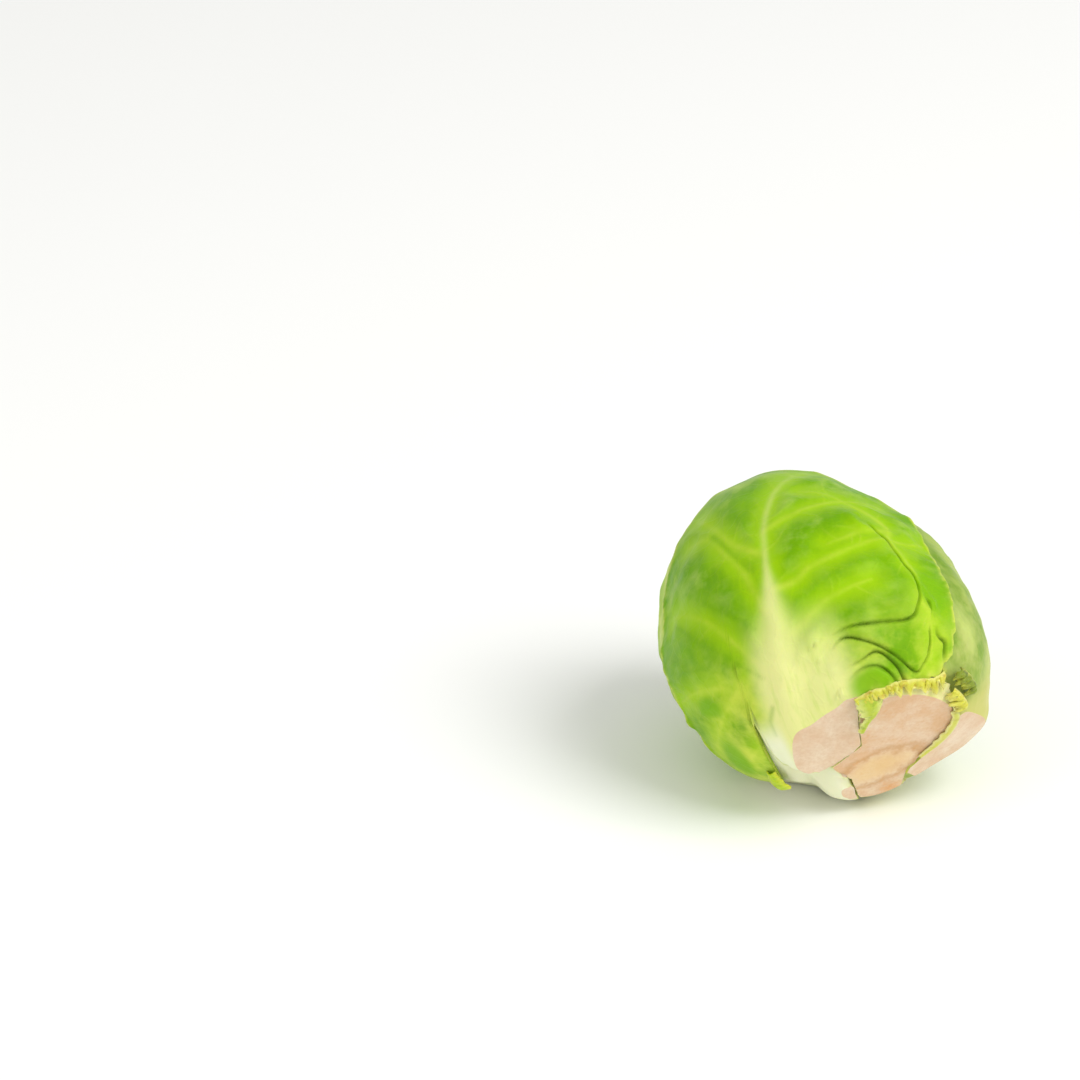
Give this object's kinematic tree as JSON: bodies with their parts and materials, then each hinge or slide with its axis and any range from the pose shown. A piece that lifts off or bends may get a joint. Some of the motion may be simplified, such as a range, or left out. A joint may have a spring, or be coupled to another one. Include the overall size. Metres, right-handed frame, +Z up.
{
  "type": "brussels sprout",
  "caption": "Single Brussels sprout lying on its side, knife-cut at the stalk, with thin wrapper leaves closed over a tight heart.",
  "frame": {"origin": "middle of the sprout's bounding box, on the surface it lies on", "axes": "+Z up from the surface it lies on; -Y towards the side with the cut stalk, which points low and to the +X side; +Y is the longest extent"},
  "size_m": [0.0356, 0.038, 0.0327],
  "materials": {
    "leaf_green": "waxy leaf with a soft sheen and paler veins",
    "heart_pale_green": "pale yellow-green leaf, satin",
    "stalk_flesh": "moist cut stalk flesh, cream to pinkish beige"
  },
  "bodies": {
    "root": {"leaf_front": "leaf_green", "leaf_right": "leaf_green", "leaf_belly": "leaf_green", "leaf_wrap_1": "leaf_green", "leaf_wrap_2": "leaf_green", "leaf_wrap_3": "leaf_green", "leaf_wrap_4": "leaf_green", "leaf_wrap_5": "leaf_green", "heart": "heart_pale_green", "stalk": "stalk_flesh"}
  },
  "joints": []
}
